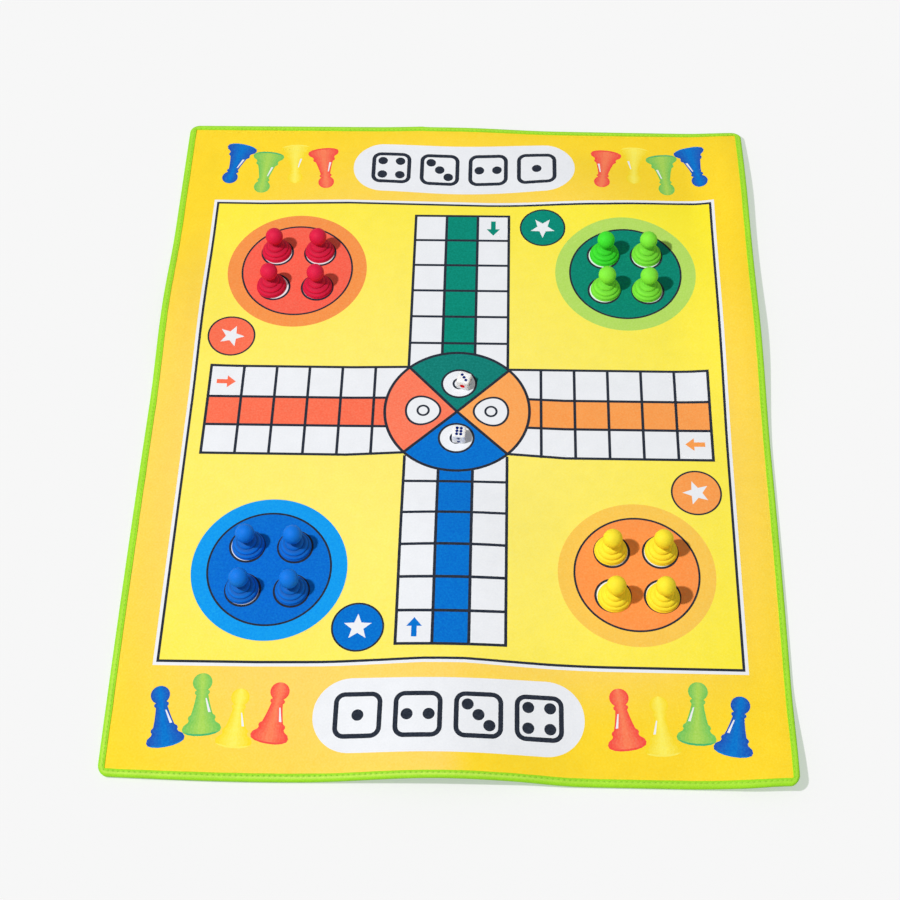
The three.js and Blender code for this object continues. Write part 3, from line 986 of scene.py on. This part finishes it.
ring = Ring()
FOLD_HEIGHT = 0.4 * MM
FOLD_RAMP = (0.8 * MM, 2.6 * MM)
# Above this height a place is on top of the tape
TAPE_SKIN = 0.8 * TAPE_TOP
HOLE_LENGTH = 1.5 * MM
HOLE_WIDTH = 0.6 * MM
HOLE_DEPTH = 0.22 * MM
PUFF_HEIGHT = 0.08 * MM
PUFF_REACH = 2.2 * MM
# The stitches are drawn tightest along the left half of the front, where the painted shade in their holes is
# darkest and the painted sheen on the tape is strongest
TIGHT_MIDDLE = 0.84
TIGHT_REACH = 450 * MM
# Half width of the painted sheen band along the top of the tape
CREST_SHEEN_REACH = 2.4 * MM
# The sewn edge isn't perfectly straight: how far it wanders, where, and the length and phase of its waves
WANDER = 0.09 * MM
WANDER_RAMP = (4 * MM, 7 * MM)
WAVES = [(6.7 * MM, 0), (19 * MM, 1), (43 * MM, 2)]


def tape_skin(inset, height, length, fold, tight):
    """Height of the tape's skin, and how far it is pressed in: 1 in a stitch hole, 0 away from it; the same
    share sets the painted shade in the hole.
    """
    if height < TAPE_SKIN:
        return height, 0
    hole = (length / ring.pitch) % 1
    along = min(hole, 1 - hole) * ring.pitch / HOLE_LENGTH
    across = (inset - STITCH_INSET) / HOLE_WIDTH
    hole_press_and_shade = (0.45 + 0.4 * tight) * math.exp(-along ** 4 - across * across)
    puff = math.sin(math.pi * length / ring.pitch) ** 2 * hump(inset - TAPE_CREST, PUFF_REACH)
    raised = smooth(*FOLD_RAMP, inset) * fold
    return height - HOLE_DEPTH * hole_press_and_shade + PUFF_HEIGHT * puff + FOLD_HEIGHT * raised, hole_press_and_shade


def tape_wander(inset, length):
    """How far a place on the tape lies further in."""
    sway = sum(math.sin(length / wave + phase) for wave, phase in WAVES)
    return WANDER * sway * smooth(*WANDER_RAMP, inset)


def add_tape():
    section = tape_section()
    rails = [ring_at(inset, TAPE_STEP) for inset, _ in section]
    vertices = []
    hole_press_and_shades = []
    crest_sheens = []
    for station, (length, fold) in enumerate(zip(ring.lengths, ring.folds)):
        tight = hump(length - TIGHT_MIDDLE * ring.total, TIGHT_REACH)
        sheen_strength = 0.35 + 0.65 * tight
        for rail, (inset, height) in zip(rails, section):
            x, y = rail[station]
            shift = tape_wander(inset, length)
            if abs(abs(x) - HALF_WIDTH) < abs(abs(y) - HALF_LENGTH):
                x -= math.copysign(shift, x)
            else:
                y -= math.copysign(shift, y)
            skin, hole_press_and_shade = tape_skin(inset, height, length, fold, tight)
            vertices.append((*settle(x, y), swell_at(x, y) + skin))
            hole_press_and_shades.append(hole_press_and_shade)
            # painted sheen: a paler band along the top of the tape, strongest along the left half of the
            # front
            crest_sheens.append(sheen_strength * hump(inset - TAPE_CREST, CREST_SHEEN_REACH) if height > TAPE_TOP / 2 else 0)
    faces = [(a, d, c, b) for a, b, c, d in ring_faces(0, len(ring.folds), len(section), True)]
    piece = add_piece("folded_tape", vertices, faces, [woven_tape()], "mat", "edge_binding")
    # painted shade in the stitch holes and painted sheen along the top of the tape, for the material
    set_values(piece, "hole_press_and_shade", hole_press_and_shades)
    set_values(piece, "crest_sheen", crest_sheens)
    return piece


THREAD_RADIUS = 0.36 * MM
STITCH_HEIGHT = 5 * MM
STITCH_SIDES = 7
# Along a stitch: share of its length, share of the thread's radius, and height over the tape
STITCH_RINGS = [
    (0.06, 0.3, -0.3 * MM), (0.12, 0.75, -0.12 * MM), (0.24, 1.0, 0.06 * MM), (0.5, 1.0, 0.12 * MM),
    (0.76, 1.0, 0.06 * MM), (0.88, 0.75, -0.12 * MM), (0.94, 0.3, -0.3 * MM),
]


def add_stitches():
    """Each stitch is a short thread that dips into the tape at both ends."""
    vertices = []
    faces = []
    for index in range(ring.stitches):
        first = len(vertices)
        for share, thickness, height in STITCH_RINGS:
            place, direction, fold = ring.at((index + share) * ring.pitch)
            x, y = settle(*place)
            z = swell_at(*place) + STITCH_HEIGHT + FOLD_HEIGHT * fold + height
            for across, up in disc((0, z), thickness * THREAD_RADIUS, STITCH_SIDES):
                vertices.append((x - direction.y * across, y + direction.x * across, up))
        faces += ring_faces(first, len(STITCH_RINGS), STITCH_SIDES)
        faces.append(tuple(reversed(range(first, first + STITCH_SIDES))))
        faces.append(tuple(range(len(vertices) - STITCH_SIDES, len(vertices))))
    return add_piece("stitch_row", vertices, faces, [sewing_thread()], "mat", "binding_thread")


# Pawns

PAWN_SEGMENTS = 72
TIER_UNDERCUT = 0.6
# Heights in millimetres at which the tiers and the neck start
BASE_LOW = 2.1
MIDDLE_LOW = 5.7
UPPER_LOW = 10
NECK_LOW = 14.4


def tier(outer, inner, low, high):
    """A rounded tier in millimetres: it bulges out over an undercut foot, then rounds in to its top."""
    bulge = low + TIER_UNDERCUT
    points = arc((outer - TIER_UNDERCUT, bulge), TIER_UNDERCUT, -67.5, 45, 2)
    for across, up in arc((0, 0), 1, 0, 90, 12):
        points.append((inner + (outer - inner) * across, bulge + (high - bulge) * up))
    return points


def pawn_profile():
    """Half section of a pawn in millimetres, from the middle of its foot to the top of its head."""
    flange, base, middle, upper = 16.5, 15.9, 13.4, 9.4
    collar, neck, head, height = 5.4, 4.6, 9.6, 36.5
    points = [(0, 0), (flange - TIER_UNDERCUT, 0)]
    points += tier(flange, base - TIER_UNDERCUT, 0, BASE_LOW)
    points += tier(base, middle - TIER_UNDERCUT, BASE_LOW, MIDDLE_LOW)
    points += tier(middle, upper - TIER_UNDERCUT, MIDDLE_LOW, UPPER_LOW)
    points += tier(upper, collar, UPPER_LOW, NECK_LOW)
    head_centre = height - head
    head_start = math.asin(collar / head)
    neck_high = head_centre - head * math.cos(head_start)
    steps = 11
    for step in range(1, steps):
        share = step / steps
        waist = (2 * share - 1) ** 2
        points.append((neck + (collar - neck) * waist, NECK_LOW + (neck_high - NECK_LOW) * share))
    start = math.degrees(head_start)
    head_points = arc((0, head_centre), head, start - 90, 180 - start, 26)
    return points + head_points[1:-1] + [(0, height)]


def lathe(profile, segments, x, y, z):
    """A solid turned about an upright axis; its profile is in millimetres and ends on the axis."""
    vertices = [(x, y, z + profile[0][1] * MM)]
    for radius, height in profile[1:-1]:
        vertices += [(*point, z + height * MM) for point in disc((x, y), radius * MM, segments)]
    top = len(vertices)
    vertices.append((x, y, z + profile[-1][1] * MM))
    faces = ring_faces(1, len(profile) - 2, segments)
    last = top - segments
    for segment in range(segments):
        after = (segment + 1) % segments
        faces.append((0, 1 + after, 1 + segment))
        faces.append((last + segment, last + after, top))
    return vertices, faces


# Colour of each plastic, and how much painted shade darkens it in its grooves
PAWN_PLASTICS = {
    "pawn_red": (colour(222, 22, 68), 0.25),
    "pawn_green": (colour(130, 236, 60), 0.2),
    "pawn_deep_green": (colour(62, 226, 46), 0.2),
    "pawn_blue": (colour(0, 119, 228), 0.4),
    "pawn_yellow": (colour(255, 231, 48), 0),
}
# Height and reach of the painted shade in the grooves between the tiers and at the neck, in millimetres
PAINTED_SHADE_BANDS = [(BASE_LOW, 1), (MIDDLE_LOW, 1.4), (UPPER_LOW, 1.8), (16, 6)]


# Painted shade along the height of a pawn: 1 in the middle of its grooves and at the neck, 0 away from them
def painted_groove_shade(height):
    return max(hump(height - middle, reach) for middle, reach in PAINTED_SHADE_BANDS)


def node_middle(node):
    low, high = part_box(node)
    return ((low[0] + high[0]) / 2, (low[1] + high[1]) / 2)


def add_pawns():
    materials = {slot: pawn_plastic(slot, *look) for slot, look in PAWN_PLASTICS.items()}
    slots = {part["node"]: part["material_slot"] for part in frame["record"]["subparts"]}
    for team in ("red", "green", "blue", "yellow"):
        for number in range(1, 5):
            node = f"pawn_{team}_{number}"
            slot = slots[node]
            vertices, faces = lathe(pawn_profile(), PAWN_SEGMENTS, *node_middle(node), SHEET_TOP)
            body = f"{team}_pawn_{number}"
            piece = add_piece(f"turned_{node}", vertices, faces, [materials[slot]], body, node)
            set_values(piece, "groove_shade", [painted_groove_shade((z - SHEET_TOP) / MM) for x, y, z in vertices])


# Dice

DIE_HALF = 7 * MM
DIE_EDGE = 2 * MM
PIP_RADIUS = 1.75 * MM
ONE_PIP_RADIUS = 2.85 * MM
PIP_DEPTH = 0.5 * MM
DIE_PIPS = pip_places(2.8 * MM, 2.1 * MM, 3.6 * MM)
PIP_RINGS = (0.35, 0.65, 0.85, 0.95, 1.0, 1.1)
PIP_SIDES = 20
PIP_PAINT = 0.97

AXIS_X = Vector((1, 0, 0))
AXIS_Y = Vector((0, 1, 0))
AXIS_Z = Vector((0, 0, 1))
# Count of pips, and the directions across, up and out of each face before the die is turned
DIE_FACES = [
    (1, AXIS_X, AXIS_Z, -AXIS_Y),
    (6, AXIS_Z, AXIS_X, AXIS_Y),
    (2, AXIS_Y, AXIS_Z, AXIS_X),
    (5, AXIS_Z, AXIS_Y, -AXIS_X),
    (3, AXIS_X, AXIS_Y, AXIS_Z),
    (4, AXIS_Y, AXIS_X, -AXIS_Z),
]


def die_lines():
    """Where points stand along one side of a face: close on the rounded edge, wide on the flat."""
    flat = DIE_HALF - DIE_EDGE
    curved = [flat + DIE_EDGE * math.tan(math.radians(angle)) for angle in (9, 18, 27, 36, 45)]
    half = [flat / 3, 2 * flat / 3, flat, *curved]
    return [-value for value in reversed(half)] + [0] + half


def die_face(count):
    """A flat face with its pips, as points, triangles, and the middle and size of each pip."""
    lines = die_lines()
    radius = ONE_PIP_RADIUS if count == 1 else PIP_RADIUS
    middles = [Vector(place) for place in DIE_PIPS[count]]
    points = list(middles)
    for middle in middles:
        for share in PIP_RINGS:
            points.extend(Vector(point) for point in disc(middle, radius * share, PIP_SIDES))
    clear = 1.3 * radius
    for u in lines:
        for v in lines:
            place = Vector((u, v))
            if all((place - middle).length > clear for middle in middles):
                points.append(place)
    flat, _, faces, *_ = delaunay_2d_cdt(points, [], [], 0, 1e-7)
    return flat, faces, middles, radius


def pip_dip(point, middles, radius):
    """Depth of the surface below the flat of the face, and whether the point is in a pip's paint."""
    for middle in middles:
        share = (point - middle).length / radius
        if share < 1:
            return PIP_DEPTH * (1 - share * share), share < PIP_PAINT
    return 0, False


def add_die(node, body, turn, materials):
    vertices = []
    faces = []
    face_materials = []
    index_of = {}
    flat_half = DIE_HALF - DIE_EDGE
    for count, across, up, out in DIE_FACES:
        points, triangles, middles, radius = die_face(count)
        handed = across.cross(up).dot(out)
        indices = []
        for point in points:
            core_u = min(max(point.x, -flat_half), flat_half)
            core_v = min(max(point.y, -flat_half), flat_half)
            reach = Vector((point.x - core_u, point.y - core_v, DIE_EDGE)).normalized() * DIE_EDGE
            depth, _ = pip_dip(point, middles, radius)
            place = across * (core_u + reach.x) + up * (core_v + reach.y)
            place += out * (flat_half + reach.z - depth)
            place = turn @ place
            # Faces share the points on their edges
            key = tuple(round(value * 1e7) for value in place)
            index = index_of.setdefault(key, len(vertices))
            if index == len(vertices):
                vertices.append(place)
            indices.append(index)
        for triangle in triangles:
            middle = sum((points[corner] for corner in triangle), Vector((0, 0))) / 3
            _, painted = pip_dip(middle, middles, radius)
            corners = [indices[corner] for corner in triangle]
            faces.append(corners if handed > 0 else corners[::-1])
            face_materials.append((2 if count == 1 else 1) if painted else 0)
    x, y = node_middle(node)
    vertices = [(x + place.x, y + place.y, SHEET_TOP + DIE_HALF + place.z) for place in vertices]
    piece = add_piece(f"moulded_{node}", vertices, faces, materials, body, node)
    piece.data.polygons.foreach_set("material_index", face_materials)
    return piece


def add_dice():
    materials = [
        die_plastic("die_white", colour(246, 247, 249), 0.22, 0.5, 0.8),
        die_plastic("pip_navy", colour(4, 32, 110), 0.7, 0.1, 0),
        die_plastic("pip_red", colour(236, 8, 20), 0.7, 0.1, 0),
    ]
    upright = Matrix.Identity(3)
    tipped = Matrix((-AXIS_Y, AXIS_Z, -AXIS_X)).transposed()
    for node, body, basis, yaw in (
        ("die_1", "first_die", upright, -14.5), ("die_2", "second_die", tipped, -3.9)
    ):
        add_die(node, body, Matrix.Rotation(math.radians(yaw), 3, "Z") @ basis, materials)


face = add_face()
backing = add_backing()
tape = add_tape()
stitches = add_stitches()
add_pawns()
add_dice()
